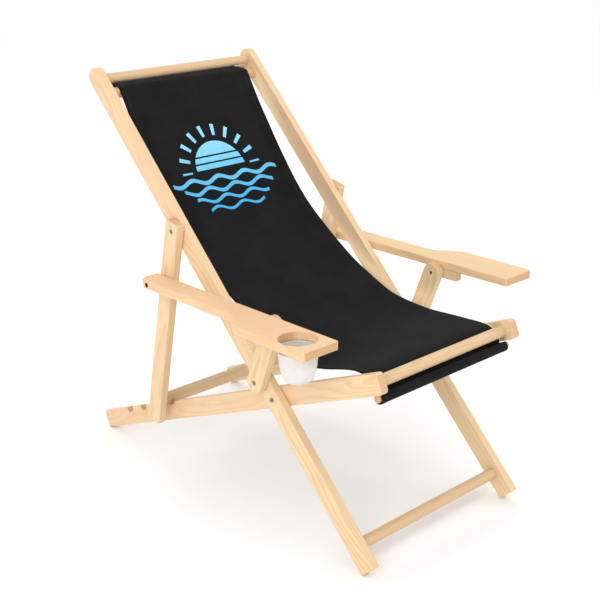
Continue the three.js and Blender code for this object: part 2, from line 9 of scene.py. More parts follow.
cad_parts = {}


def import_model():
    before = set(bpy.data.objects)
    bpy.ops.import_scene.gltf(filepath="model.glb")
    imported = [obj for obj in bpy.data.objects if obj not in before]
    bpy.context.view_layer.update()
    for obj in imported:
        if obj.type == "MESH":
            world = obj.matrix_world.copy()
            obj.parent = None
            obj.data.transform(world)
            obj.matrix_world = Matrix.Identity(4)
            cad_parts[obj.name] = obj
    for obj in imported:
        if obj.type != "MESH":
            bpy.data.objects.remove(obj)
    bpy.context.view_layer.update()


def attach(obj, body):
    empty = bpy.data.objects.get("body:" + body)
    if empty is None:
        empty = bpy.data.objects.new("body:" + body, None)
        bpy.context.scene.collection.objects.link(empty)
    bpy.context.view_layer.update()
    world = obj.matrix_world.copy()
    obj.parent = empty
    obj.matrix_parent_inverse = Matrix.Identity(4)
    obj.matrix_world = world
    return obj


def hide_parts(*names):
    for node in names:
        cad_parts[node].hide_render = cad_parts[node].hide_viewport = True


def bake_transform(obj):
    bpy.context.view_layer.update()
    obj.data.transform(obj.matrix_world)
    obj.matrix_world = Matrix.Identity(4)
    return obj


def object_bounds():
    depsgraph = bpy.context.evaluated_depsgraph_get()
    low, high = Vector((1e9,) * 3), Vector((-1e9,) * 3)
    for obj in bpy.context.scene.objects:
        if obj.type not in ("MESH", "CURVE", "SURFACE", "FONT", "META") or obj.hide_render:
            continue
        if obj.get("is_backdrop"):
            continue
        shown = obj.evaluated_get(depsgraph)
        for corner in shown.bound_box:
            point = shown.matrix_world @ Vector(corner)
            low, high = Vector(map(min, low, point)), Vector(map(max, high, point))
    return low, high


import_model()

MM = 0.001

# ---- Sizes, in millimetres ----------------------------------------------------

HALF = 21.5  # half a rail's depth
LONG_OUTER = 231
LONG_INNER = 212
SEAT_OUTER = 211
SEAT_INNER = 192
PROP_INNER = 232
PROP_OUTER = 251
ARM_INNER = 252

BACK_ANGLE = 46
SEAT_ANGLE = -22.6
PROP_ANGLE = BACK_ANGLE + 180 + 57
PIVOT = (-195.5, 299.685)
PROP_PIVOT = (99.382, 605.045)
POST_PIVOT = (-162.851, 333.494)
POST_TOP = (-218.723, 472.700)
POST_ANGLE = 111.869
ARM_ANGLE = 0.0177

TOP_END = 858  # rail ends, from the main pivot
FOOT_END = -397
SEAT_FRONT = 308
SEAT_REAR = 729.78
NOTCHES = (476.5, 540, 603.5)
REST_NOTCH = 413
NOTCH_HALF = 13
NOTCH_SLOPE = 4.5
NOTCH_FLOOR = 9
NOTCH_EASE = 1.5
FIRST_TOOTH = 20
REST_FLOOR = 15.8
REST_STOP = 16.4

PROP_START = -22
PROP_END = 497
POST_LENGTH = 150
UPPER_HOLE_RADIUS = 3.6
PROP_BOLT_AT = 424.5
POST_BOLT_AT = 47

ARM_UNDER = 8.5
ARM_TOP = 27
ARM_FRONT = -196
ARM_REAR = 375
ARM_NARROW = 52
ARM_WIDE = 90
ARM_BOLT = (344.55, 17.75)
CUP_X = 298
CUP_Y = -133
CUP_RADIUS = 38
NET_TOP = 39
NET_DEPTH = 70
HOOP_RADIUS = 1.6
BLOCK_THICK = 18
BLOCK_HALF = (37, 10.5)
BLOCK_REAR = -57

SLING_HALF = 189
TOP_ROD = (828, -30)
FRONT_ROD = (-280, -30)
TOP_ROD_HALF = 218
FRONT_ROD_HALF = 198
FRONT_ROD_SHIFT = -4
ROD_RADIUS = 7.5
TOP_DOWEL_RADIUS = 11
DOWEL_RADIUS = 12.5
REAR_DOWEL = (795, -8)
BAR = (450.5, 3.7)
BAR_HALF_LENGTH = 231.7

GAP = 0.3  # between pieces that touch
HEAD_RADIUS = 4.8
HEAD_HEIGHT = 2.8
HEAD_OUT = 3.1
HEX_RADIUS = 1.9
SHANK_RADIUS = 3
BORE_RADIUS = 5.4
BORE_DEPTH = 22
SCREW_LENGTH = 42
SCREW_RADIUS = 2.2

SIDES = (("right", -1), ("left", 1))


def side_frame(at, angle):
    """A side view's own frame: local Y runs along the angle, local Z across it."""
    place = Matrix.Translation(Vector((0, at[0] * MM, at[1] * MM)))
    return place @ Matrix.Rotation(math.radians(angle), 4, "X")


LONG = side_frame(PIVOT, BACK_ANGLE)
SEAT = side_frame(PIVOT, SEAT_ANGLE)
PROP = side_frame(PROP_PIVOT, PROP_ANGLE)
POST = side_frame(POST_PIVOT, POST_ANGLE)
ARM = side_frame(POST_TOP, ARM_ANGLE)


# ---- Shader helpers -----------------------------------------------------------


class Nodes:
    """Short words for building one material."""

    def __init__(self, name):
        self.material = bpy.data.materials.new(name)
        self.material.use_nodes = True
        self.tree = self.material.node_tree
        self.shader = self.tree.nodes["Principled BSDF"]

    def add(self, kind, **settings):
        node = self.tree.nodes.new(kind)
        for key, value in settings.items():
            setattr(node, key, value)
        return node

    def put(self, socket, value):
        if isinstance(value, bpy.types.NodeSocket):
            self.tree.links.new(value, socket)
        else:
            socket.default_value = value

    def math(self, kind, *values):
        node = self.add("ShaderNodeMath", operation=kind)
        for socket, value in zip(node.inputs, values):
            self.put(socket, value)
        return node.outputs[0]

    def vector(self, kind, *values):
        node = self.add("ShaderNodeVectorMath", operation=kind)
        for socket, value in zip(node.inputs, values):
            self.put(socket, value)
        return node.outputs[0]

    def split(self, vector):
        node = self.add("ShaderNodeSeparateXYZ")
        self.put(node.inputs[0], vector)
        return node.outputs

    def join(self, x, y, z):
        node = self.add("ShaderNodeCombineXYZ")
        for socket, value in zip(node.inputs, (x, y, z)):
            self.put(socket, value)
        return node.outputs[0]

    def noise(self, vector, scale, detail=3.0, roughness=0.5):
        node = self.add("ShaderNodeTexNoise")
        self.put(node.inputs["Vector"], vector)
        node.inputs["Scale"].default_value = scale
        node.inputs["Detail"].default_value = detail
        node.inputs["Roughness"].default_value = roughness
        return node.outputs["Fac"]

    def ramp(self, value, low, high):
        """0 below low, 1 above high, smooth between."""
        node = self.add("ShaderNodeMapRange", interpolation_type="SMOOTHSTEP")
        self.put(node.inputs["Value"], value)
        self.put(node.inputs["From Min"], low)
        self.put(node.inputs["From Max"], high)
        return node.outputs["Result"]

    def mix(self, factor, a, b, blend="MIX"):
        node = self.add("ShaderNodeMix", data_type="RGBA", blend_type=blend)
        self.put(node.inputs["Factor"], factor)
        self.put(node.inputs[6], a)
        self.put(node.inputs[7], b)
        return node.outputs[2]

    def bump(self, height, strength, distance, normal=None):
        node = self.add("ShaderNodeBump")
        node.inputs["Strength"].default_value = strength
        node.inputs["Distance"].default_value = distance
        self.put(node.inputs["Height"], height)
        if normal is not None:
            self.put(node.inputs["Normal"], normal)
        return node.outputs["Normal"]

    def finish(self, **values):
        for key, value in values.items():
            self.put(self.shader.inputs[key.replace("_", " ")], value)
        return self.material


def rgb(red, green, blue):
    """A display colour, 0 to 255, as the linear values that a shader takes."""

    def linear(value):
        value /= 255
        return value / 12.92 if value <= 0.04045 else ((value + 0.055) / 1.055) ** 2.4

    return (linear(red), linear(green), linear(blue), 1.0)


# ---- Materials ----------------------------------------------------------------


def wood(name, early, late, rosy, end, ring_pitch=0.0048):
    """Planed softwood whose grain runs along the piece's own Y."""
    n = Nodes(name)
    where = n.add("ShaderNodeTexCoord")
    info = n.add("ShaderNodeObjectInfo")
    random = info.outputs["Random"]
    shift = n.join(
        n.math("MULTIPLY", random, 3.7),
        n.math("MULTIPLY", random, 11.3),
        n.math("MULTIPLY", random, 5.9),
    )
    point = where.outputs["Object"]
    x, y, z = n.split(point)
    # Slow wander of the log's heart, so that the rings run out as long arches.
    slow = n.join(x, n.math("MULTIPLY", y, 0.16), z)
    wander = n.noise(n.vector("ADD", slow, shift), 14.0, 2.0)
    swing = n.math("MULTIPLY", n.math("SUBTRACT", wander, 0.5), 0.05)
    heart_x = n.math("MULTIPLY", n.math("SUBTRACT", random, 0.45), 0.16)
    heart_z = n.math("ADD", 0.035, n.math("MULTIPLY", random, 0.05))
    from_x = n.math("ADD", n.math("SUBTRACT", x, heart_x), swing)
    from_z = n.math("ADD", n.math("SUBTRACT", z, heart_z), n.math("MULTIPLY", y, 0.02))
    radius = n.math("SQRT", n.math("ADD", n.math("POWER", from_x, 2), n.math("POWER", from_z, 2)))
    phase = n.math("FRACT", n.math("DIVIDE", radius, ring_pitch))
    # Each ring darkens slowly and ends sharply.
    rise = n.ramp(phase, 0.25, 0.88)
    fall = n.ramp(phase, 1.0, 0.9)
    ring = n.math("MULTIPLY", rise, fall)
    fibre_place = n.vector("MULTIPLY", n.vector("ADD", point, shift), (1.0, 0.018, 1.0))
    fibre = n.noise(fibre_place, 900.0, 4.0, 0.62)
    streak_place = n.vector("MULTIPLY", n.vector("ADD", point, shift), (1.0, 0.05, 1.0))
    streak = n.noise(streak_place, 160.0, 3.0, 0.55)
    tone = n.noise(n.vector("MULTIPLY", n.vector("ADD", point, shift), (1.0, 0.35, 1.0)), 7.0, 2.0)
    colour = n.mix(n.math("MULTIPLY", ring, 0.5), early, late)
    rosiness = n.math("MULTIPLY", n.ramp(tone, 0.42, 0.68), n.math("ADD", 0.25, random))
    colour = n.mix(n.math("MULTIPLY", rosiness, 0.55), colour, rosy)
    dark_streak = n.math("MULTIPLY", n.ramp(streak, 0.56, 0.78), 0.3)
    colour = n.mix(dark_streak, colour, late)
    pores = n.math("MULTIPLY", n.ramp(fibre, 0.58, 0.8), 0.2)
    colour = n.mix(pores, colour, end)
    facing = n.math("ABSOLUTE", n.split(where.outputs["Normal"])[1])
    end_mask = n.math("MULTIPLY", n.ramp(facing, 0.72, 0.95), 0.62)
    end_rings = n.mix(n.math("MULTIPLY", ring, 0.5), end, late)
    colour = n.mix(end_mask, colour, end_rings)
    # Handling and machining leave the arrises a little darker and smoother.
    geometry = n.add("ShaderNodeNewGeometry")
    arris = n.ramp(geometry.outputs["Pointiness"], 0.505, 0.56)
    colour = n.mix(n.math("MULTIPLY", arris, 0.16), colour, late)
    height = n.math("ADD", n.math("MULTIPLY", fibre, 0.6), n.math("MULTIPLY", ring, -0.35))
    normal = n.bump(height, 0.22, 0.0004)
    rough = n.math("ADD", 0.47, n.math("MULTIPLY", fibre, 0.16))
    rough = n.math("SUBTRACT", rough, n.math("MULTIPLY", arris, 0.08))
    return n.finish(
        Base_Color=colour,
        Roughness=rough,
        Normal=normal,
        Specular_IOR_Level=0.38,
        Coat_Weight=0.06,
        Coat_Roughness=0.35,
    )


def steel(name, colour, roughness):
    n = Nodes(name)
    where = n.add("ShaderNodeTexCoord").outputs["Object"]
    grain = n.noise(where, 1400.0, 3.0)
    blotch = n.noise(where, 220.0, 2.0)
    tint = n.mix(n.math("MULTIPLY", n.ramp(blotch, 0.4, 0.75), 0.35), colour, rgb(96, 88, 78))
    return n.finish(
        Base_Color=tint,
        Metallic=1.0,
        Roughness=n.math("ADD", roughness, n.math("MULTIPLY", grain, 0.16)),
        Normal=n.bump(grain, 0.12, 0.0001),
    )


def emblem(n, across, down):
    """A plain sun over four wave lines: 1 where it is printed. Millimetres from its middle."""
    horizon = 14.0
    sun, ray_start, ray_end = 50.0, 60.0, 80.0
    over = n.math("LESS_THAN", down, horizon)
    below_sun = n.math("SUBTRACT", down, horizon)
    span = n.math(
        "SQRT", n.math("ADD", n.math("POWER", across, 2), n.math("POWER", below_sun, 2))
    )
    disc = n.math("LESS_THAN", span, sun)
    slot_place = n.math("FRACT", n.math("DIVIDE", n.math("SUBTRACT", horizon, down), 12.0))
    near_horizon = n.math("LESS_THAN", n.math("SUBTRACT", horizon, down), 30.0)
    slot = n.math("MULTIPLY", n.math("LESS_THAN", slot_place, 0.24), near_horizon)
    disc = n.math("MULTIPLY", disc, n.math("SUBTRACT", 1.0, slot))
    turn = n.math("DIVIDE", n.math("ARCTAN2", across, below_sun), math.radians(20))
    spoke = n.math("ABSOLUTE", n.math("SUBTRACT", n.math("FRACT", turn), 0.5))
    spoke = n.math("LESS_THAN", spoke, 0.13)
    beyond_sun = n.math("GREATER_THAN", span, ray_start)
    ring = n.math("MULTIPLY", beyond_sun, n.math("LESS_THAN", span, ray_end))
    printed = n.math("MULTIPLY", n.math("MAXIMUM", disc, n.math("MULTIPLY", ring, spoke)), over)
    for i in range(4):
        centre = horizon + 15.0 + 17.0 * i
        swell = n.math("SINE", n.math("ADD", n.math("DIVIDE", across, 8.6), i * math.pi))
        line = n.math("SUBTRACT", down, n.math("ADD", centre, n.math("MULTIPLY", swell, 4.2)))
        line = n.math("LESS_THAN", n.math("ABSOLUTE", line), 3.6 - 0.4 * i)
        inside = n.math("LESS_THAN", n.math("ABSOLUTE", across), 108.0 - 17.0 * i)
        printed = n.math("MAXIMUM", printed, n.math("MULTIPLY", line, inside))
    return printed


EMBLEM_SCALE = 1.42
PRINT_MIDDLE = 308  # along the sheet, from its upper end


def canvas(name, width, length, print_middle):
    """Woven cloth with a print. UV runs across and along the cut sheet."""
    n = Nodes(name)
    uv = n.add("ShaderNodeUVMap", uv_map="cloth").outputs["UV"]
    u, v, _ = n.split(uv)
    across = n.math("MULTIPLY", n.math("SUBTRACT", u, 0.5), width)
    down = n.math("MULTIPLY", v, length)
    place = n.join(across, down, 0.0)
    wobble = n.math("MULTIPLY", n.noise(place, 0.9, 2.0), 0.8)
    pitch = 1.15
    warp = n.math("SINE", n.math("MULTIPLY", n.math("ADD", across, wobble), 2 * math.pi / pitch))
    weft = n.math("SINE", n.math("MULTIPLY", n.math("ADD", down, wobble), 2 * math.pi / pitch))
    weave = n.math("MULTIPLY", warp, weft)
    slub = n.noise(n.vector("MULTIPLY", place, (0.03, 1.2, 1.0)), 1.0, 3.0)
    slub_two = n.noise(n.vector("MULTIPLY", place, (1.2, 0.03, 1.0)), 1.0, 3.0)
    tone = n.noise(place, 0.012, 3.0)
    colour = n.mix(n.ramp(tone, 0.35, 0.7), rgb(18, 18, 19), rgb(25, 25, 26))
    threads = n.math("MULTIPLY", n.ramp(n.math("ADD", slub, slub_two), 0.9, 1.3), 0.4)
    colour = n.mix(threads, colour, rgb(33, 33, 35))
    colour = n.mix(n.math("MULTIPLY", n.ramp(weave, 0.0, 1.0), 0.3), colour, rgb(33, 33, 35))
    # Hem stitching: dashes in a line beside each edge.
    hem, stitch_pitch = 13.0, 4.2
    from_edge = n.math("SUBTRACT", width / 2, n.math("ABSOLUTE", across))
    off_line = n.math("ABSOLUTE", n.math("SUBTRACT", from_edge, hem))
    dash = n.math("FRACT", n.math("DIVIDE", down, stitch_pitch))
    stitch = n.math("MULTIPLY", n.ramp(off_line, 0.75, 0.35), n.ramp(dash, 0.3, 0.36))
    dimple = n.math("MULTIPLY", n.ramp(off_line, 1.8, 0.3), -0.6)
    colour = n.mix(stitch, colour, rgb(50, 50, 53))
    # The print soaks into the weave, so it is a little broken up by the threads.
    from_middle = n.math("DIVIDE", n.math("SUBTRACT", down, print_middle), EMBLEM_SCALE)
    printed = emblem(n, n.math("DIVIDE", across, EMBLEM_SCALE), from_middle)
    shade = n.ramp(from_middle, -70.0, 90.0)
    blue = n.mix(shade, rgb(150, 222, 250), rgb(70, 178, 232))
    ink = n.math("MULTIPLY", printed, n.math("SUBTRACT", 0.96, n.math("MULTIPLY", threads, 0.5)))
    colour = n.mix(ink, colour, blue)
    height = n.math("ADD", n.math("MULTIPLY", weave, 0.5), n.math("MULTIPLY", stitch, 1.2))
    height = n.math("ADD", height, dimple)
    height = n.math("ADD", height, n.math("MULTIPLY", slub, 0.7))
    normal = n.bump(height, 0.45, 0.0003)
    creases = n.noise(n.vector("MULTIPLY", place, (0.006, 0.014, 1.0)), 1.0, 2.0)
    normal = n.bump(creases, 0.35, 0.006, normal)
    return n.finish(
        Base_Color=colour,
        Roughness=0.9,
        Normal=normal,
        Specular_IOR_Level=0.1,
        Sheen_Weight=0.02,
        Sheen_Roughness=0.5,
    )


def netting(name):
    """White net: threads with see-through gaps between them."""
    n = Nodes(name)
    uv = n.add("ShaderNodeUVMap", uv_map="cloth").outputs["UV"]
    u, v, _ = n.split(uv)
    one = n.math("ABSOLUTE", n.math("SUBTRACT", n.math("FRACT", n.math("ADD", u, v)), 0.5))
    two = n.math("ABSOLUTE", n.math("SUBTRACT", n.math("FRACT", n.math("SUBTRACT", u, v)), 0.5))
    rib = n.math("ABSOLUTE", n.math("SUBTRACT", n.math("FRACT", u), 0.5))
    thread = n.math("MAXIMUM", n.ramp(one, 0.3, 0.36), n.ramp(two, 0.3, 0.36))
    thread = n.math("MAXIMUM", thread, n.ramp(rib, 0.36, 0.42))
    cover = n.math("ADD", 0.12, n.math("MULTIPLY", thread, 0.88))
    # The net's grey tone and its darker patches are painted shade, standing in for the shading of
    # its pleats.
    net_patches_painted_shade = n.noise(n.join(u, v, 0.0), 1.3, 2.0)
    colour = n.mix(n.ramp(net_patches_painted_shade, 0.45, 0.7), rgb(229, 227, 225), rgb(206, 203, 199))
    return n.finish(
        Base_Color=colour,
        Roughness=0.7,
        Alpha=cover,
        Normal=n.bump(thread, 0.5, 0.0005),
        Sheen_Weight=0.2,
    )


RAIL_WOOD = wood(
    "pine_rails", rgb(224, 197, 157), rgb(207, 170, 122), rgb(224, 182, 149), rgb(186, 142, 96)
)
ARM_WOOD = wood(
    "pine_armrests", rgb(226, 195, 151), rgb(208, 167, 118), rgb(224, 179, 143), rgb(176, 126, 76),
    0.0058,
)
# Wood for the counterbore's inside: drilled end grain, painted much darker as the shade that fills
# the bore.
BORE_WOOD_AND_SHADE = wood("drilled", rgb(120, 82, 50), rgb(98, 62, 36), rgb(112, 74, 46), rgb(84, 52, 30))
DOWEL_WOOD = wood(
    "dowels", rgb(212, 183, 142), rgb(196, 158, 112), rgb(212, 170, 134), rgb(172, 132, 88), 0.0034
)
BOLT_STEEL = steel("bolt_steel", rgb(150, 146, 140), 0.3)
HOOP_STEEL = steel("hoop_wire", rgb(190, 188, 184), 0.28)
NETTING = netting("cup_netting")


# ---- Mesh helpers -------------------------------------------------------------


def arc(cx, cy, radius, start, end, steps):
    points = []
    for i in range(steps + 1):
        a = math.radians(start + (end - start) * i / steps)
        points.append((cx + radius * math.cos(a), cy + radius * math.sin(a)))
    return points


def circle(cx, cy, radius, steps=48):
    return arc(cx, cy, radius, 0, 360, steps)[:-1]


def bezier(a, b, c, d, steps):
    points = []
    for i in range(steps + 1):
        t = i / steps
        s = 1 - t
        weights = (s * s * s, 3 * s * s * t, 3 * s * t * t, t * t * t)
        points.append(tuple(sum(w * p[k] for w, p in zip(weights, (a, b, c, d))) for k in (0, 1)))
    return points


def edge_normals(loop):
    """Each edge's left-hand normal; the material lies on the left."""
    normals = []
    for i, (x, y) in enumerate(loop):
        nx, ny = loop[(i + 1) % len(loop)]
        length = math.hypot(nx - x, ny - y)
        normals.append((-(ny - y) / length, (nx - x) / length))
    return normals


def unrepeated(loop):
    """The loop without repeated points."""
    kept = []
    for point in loop:
        if not kept or math.dist(point, kept[-1]) > 0.01:
            kept.append(point)
    if math.dist(kept[0], kept[-1]) <= 0.01:
        kept.pop()
    return kept


def prism(loops, low, high, bevel, lift, steps=4):
    """A board with rounded arrises: loops run anticlockwise and holes clockwise, from height low
    to high. lift turns (a, b, height) into the piece's own x, y, z. Returns vertices, faces and
    a normal for each face corner, in millimetres."""
    vertices, faces, normals = [], [], []
    rings = []
    for k in range(steps + 1):
        t = math.pi / 2 * k / steps
        rings.append((bevel * (1 - math.sin(t)), low + bevel * (1 - math.cos(t)), t, -1))
    for k in range(steps, -1, -1):
        t = math.pi / 2 * k / steps
        rings.append((bevel * (1 - math.sin(t)), high - bevel * (1 - math.cos(t)), t, 1))
    caps = {0: [], len(rings) - 1: []}
    for loop in map(unrepeated, loops):
        edges = edge_normals(loop)
        count = len(loop)
        start = len(vertices)
        for inset, height, _, _ in rings:
            for i, (x, y) in enumerate(loop):
                ax, ay = edges[i - 1]
                bx, by = edges[i]
                scale = inset / (1 + ax * bx + ay * by)
                vertices.append(lift(x + (ax + bx) * scale, y + (ay + by) * scale, height))

        def radial(i, edge):
            ax, ay = edges[(i - 1) % count]
            bx, by = edges[i % count]
            if ax * bx + ay * by < 0.85:
                return edges[edge]
            length = math.hypot(ax + bx, ay + by)
            return ((ax + bx) / length, (ay + by) / length)

        for r in range(len(rings) - 1):
            for i in range(count):
                j = (i + 1) % count
                base = start + r * count
                faces.append((base + i, base + j, base + count + j, base + count + i))
                for corner, ring in ((i, r), (i + 1, r), (i + 1, r + 1), (i, r + 1)):
                    t, end = rings[ring][2], rings[ring][3]
                    rx, ry = radial(corner, i)
                    s = math.sin(t)
                    normals.append((-rx * s, -ry * s, end * math.cos(t)))
        for ring, found in caps.items():
            base = start + ring * count
            found.append([base + i for i in range(count)])
    for ring, found in caps.items():
        end = rings[ring][3]
        if len(found) == 1:
            polygons = [tuple(found[0])]
        else:
            flat = [[Vector((x, y, 0)) for x, y in loop] for loop in cap_loops(loops, bevel)]
            order = [v for ring_vertices in found for v in ring_vertices]
            polygons = [tuple(order[i] for i in three) for three in tessellate_polygon(flat)]
            polygons = [p if turning(p, order, flat) > 0 else p[::-1] for p in polygons]
        for polygon in polygons:
            faces.append(polygon if end > 0 else polygon[::-1])
            normals.extend([(0, 0, end)] * len(polygon))
    turn = Matrix((lift(1, 0, 0), lift(0, 1, 0), lift(0, 0, 1))).transposed()
    if turn.determinant() < 0:
        count = 0
        flipped = []
        for face in faces:
            flipped.extend(reversed(normals[count : count + len(face)]))
            count += len(face)
        normals = flipped
        faces = [face[::-1] for face in faces]
    normals = [tuple(turn @ Vector(v)) for v in normals]
    return vertices, faces, normals


def cap_loops(loops, bevel):
    """The loops as they are at a cap, inset by the bevel."""
    result = []
    for loop in map(unrepeated, loops):
        edges = edge_normals(loop)
        points = []
        for i, (x, y) in enumerate(loop):
            ax, ay = edges[i - 1]
            bx, by = edges[i]
            scale = bevel / (1 + ax * bx + ay * by)
            points.append((x + (ax + bx) * scale, y + (ay + by) * scale))
        result.append(points)
    return result


def turning(polygon, order, flat):
    """Twice the signed area of a cap triangle, to keep all of them facing one way."""
    points = [p for ring in flat for p in ring]
    a, b, c = (points[order.index(v)] for v in polygon)
    return (b - a).cross(c - a).z


def build(name, parts, material, place, body, nodes):
    """One piece from prisms, in its own frame, riding on a body and standing for CAD nodes."""
    vertices, faces, normals = [], [], []
    for part_vertices, part_faces, part_normals in parts:
        base = len(vertices)
        vertices += [tuple(c * MM for c in v) for v in part_vertices]
        faces += [tuple(base + i for i in f) for f in part_faces]
        normals += part_normals
    mesh = bpy.data.meshes.new(name)
    mesh.from_pydata(vertices, [], faces)
    mesh.polygons.foreach_set("use_smooth", [True] * len(mesh.polygons))
    mesh.normals_split_custom_set(normals)
    mesh.update()
    return finish_piece(name, mesh, material, place, body, nodes)


def finish_piece(name, mesh, material, place, body, nodes):
    mesh.materials.append(material)
    piece = bpy.data.objects.new(name, mesh)
    bpy.context.scene.collection.objects.link(piece)
    piece.matrix_world = place
    bpy.context.view_layer.update()
    if body is not None:
        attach(piece, body)
    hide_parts(*nodes)
    return piece


def across(a, b, height):
    """Side-view outlines, extruded across the chair."""
    return (height, a, b)


def upright(a, b, height):
    """Plan-view outlines, extruded upwards."""
    return (a, b, height)


def span(sign, inner, outer):
    """The lower and higher x of a stretch on the left (+1) or right (-1) side."""
    return (sign * inner, sign * outer) if sign > 0 else (sign * outer, sign * inner)


def rod_part(y, z, radius, low, high, bevel, steps=48):
    return prism([circle(y, z, radius, steps)], low, high, bevel, across, 3)


# ---- Wooden frame -------------------------------------------------------------


def rail_outline(start, end, start_radius, end_radius):
    """A rail's side view, with its own corner radius at each end."""
    corners = [
        (start + start_radius, -HALF + start_radius, start_radius, 180),
        (end - end_radius, -HALF + end_radius, end_radius, 270),
        (end - end_radius, HALF - end_radius, end_radius, 0),
        (start + start_radius, HALF - start_radius, start_radius, 90),
    ]
    points = []
    for x, y, radius, angle in corners:
        points += arc(x, y, radius, angle, angle + 90, max(5, int(radius)))
    return points


def seat_outline():
    """The seat rail's side view: three notches behind the one that the crossbar rests in."""
    front, rear = -SEAT_FRONT, SEAT_REAR
    nose, heel, lip = 9, 2, 6
    points = arc(front + nose, -HALF + nose, nose, 180, 270, 9)
    points += arc(rear - heel, -HALF + heel, heel, 270, 360, 5)
    points += arc(rear - heel, HALF - heel, heel, 0, 90, 5)
    root = NOTCH_FLOOR + NOTCH_EASE
    for centre in reversed(NOTCHES):
        front_top = FIRST_TOOTH if centre == NOTCHES[0] else HALF
        points.append((centre + NOTCH_HALF, HALF))
        points += arc(centre + NOTCH_HALF - NOTCH_SLOPE, root, NOTCH_EASE, 0, -90, 4)
        points += arc(centre - NOTCH_HALF + NOTCH_SLOPE, root, NOTCH_EASE, 270, 180, 4)
        points.append((centre - NOTCH_HALF, front_top))
    wall = REST_NOTCH - NOTCH_HALF
    points.append((REST_NOTCH + NOTCH_HALF, REST_STOP))
    points.append((REST_NOTCH + NOTCH_HALF - 2, REST_FLOOR))
    points.append((wall, REST_FLOOR))
    points += arc(wall - lip, HALF - lip, lip, 0, 90, 6)
    points += arc(front + nose, HALF - nose, nose, 90, 180, 9)
    return points


for name, sign in SIDES:
    low, high = span(sign, LONG_INNER, LONG_OUTER)
    build(
        f"rail_long_{name}",
        [prism([rail_outline(FOOT_END, TOP_END, 2, HALF - 0.5)], low, high, 1.6, across)],
        RAIL_WOOD, LONG, "long_frame", [f"long_rail_{name}"],
    )
    low, high = span(sign, SEAT_INNER, SEAT_OUTER)
    build(
        f"rail_seat_{name}",
        [prism([seat_outline()], low, high, 1.1, across)],
        RAIL_WOOD, SEAT, "seat_frame", [f"seat_rail_{name}"],
    )
    low, high = span(sign, PROP_INNER, PROP_OUTER)
    bolt_hole = circle(0, 0, HEAD_RADIUS + GAP)[::-1]
    upper_hole = circle(POST_LENGTH, 0, UPPER_HOLE_RADIUS)[::-1]
    build(
        f"rail_prop_{name}",
        [prism([rail_outline(PROP_START, PROP_END, 3, 5), bolt_hole], low, high, 1.5, across)],
        RAIL_WOOD, PROP, "prop_frame", [f"prop_rail_{name}"],
    )
    post = rail_outline(-HALF, POST_LENGTH + HALF, HALF - 0.5, HALF - 0.5)
    build(
        f"arm_post_{name}",
        [prism([post, bolt_hole, upper_hole], low, high, 1.2, across)],
        RAIL_WOOD, POST, f"post_{name}_body", [f"post_{name}"],
    )

# Piece, CAD node, place along and across its rail, radius, half length, frame and body.
DOWELS = (
    ("dowel_top", "top_dowel", (831, 0), TOP_DOWEL_RADIUS, LONG_INNER, LONG, "long_frame"),
    ("dowel_rear", "rear_dowel", REAR_DOWEL, DOWEL_RADIUS, LONG_INNER, LONG, "long_frame"),
    ("dowel_foot", "foot_dowel", (-341, 0), DOWEL_RADIUS, LONG_INNER, LONG, "long_frame"),
    ("dowel_front", "front_dowel", (-279, 0), DOWEL_RADIUS, SEAT_INNER, SEAT, "seat_frame"),
)


def cross_piece(name, outline, half, bevel, material, place, at, body, nodes, shift=0):
    """A piece that runs across the chair, with its grain along its own Y.
    shift moves its middle sideways."""
    turned = place @ Matrix.Translation(Vector((shift * MM, at[0] * MM, at[1] * MM)))
    turned = turned @ Matrix.Rotation(-math.pi / 2, 4, "Z")
    part = prism([outline], -half, half, bevel, lambda a, b, height: (-a, height, b), 3)
    return build(name, [part], material, turned, body, nodes)


for name, node, at, radius, inner, place, body in DOWELS:
    cross_piece(
        name, circle(0, 0, radius, 56), inner + 0.5, 0.2, DOWEL_WOOD, place, at, body,
        [node],
    )
cross_piece(
    "rod_top", circle(0, 0, ROD_RADIUS, 40), TOP_ROD_HALF, 0.8, DOWEL_WOOD, LONG, TOP_ROD,
    "long_frame", ["top_rod"],
)
cross_piece(
    "rod_front", circle(0, 0, ROD_RADIUS, 40), FRONT_ROD_HALF, 0.8, DOWEL_WOOD, SEAT, FRONT_ROD,
    "seat_frame", ["front_rod"], FRONT_ROD_SHIFT,
)


def eased_box(half_a, half_b, ease):
    """A rectangle with rounded corners, about its middle."""
    points = []
    for sa, sb, angle in ((1, -1, 270), (1, 1, 0), (-1, 1, 90), (-1, -1, 180)):
        points += arc(sa * (half_a - ease), sb * (half_b - ease), ease, angle, angle + 90, 6)
    return points


cross_piece(
    "prop_bar", eased_box(12.5, 10, 2.5), BAR_HALF_LENGTH, 0.3, DOWEL_WOOD, PROP, BAR,
    "prop_frame", ["prop_crossbar"],
)


# ---- Armrests -----------------------------------------------------------------


def arm_outline(sign):
    """Plan view, anticlockwise on either side of the chair."""

    def x(value):
        return sign * (ARM_INNER + value)

    front, rear, wide = ARM_FRONT, ARM_REAR, ARM_WIDE
    points = bezier((x(0), front + 4), (x(0), front + 1.5), (x(1.5), front), (x(4), front), 5)
    points += bezier(
        (x(wide - 9), front), (x(wide - 4), front), (x(wide), front + 4), (x(wide), front + 9), 8
    )
    points += bezier((x(wide), -14), (x(wide), 28), (x(ARM_NARROW), 28), (x(ARM_NARROW), 70), 28)
    points += bezier(
        (x(ARM_NARROW), rear - 26), (x(ARM_NARROW), rear - 8),
        (x(ARM_NARROW - 14), rear), (x(ARM_NARROW - 26), rear), 14,
    )
    points += bezier((x(5), rear), (x(2), rear), (x(0), rear - 2), (x(0), rear - 5), 5)
    return points if sign > 0 else points[::-1]


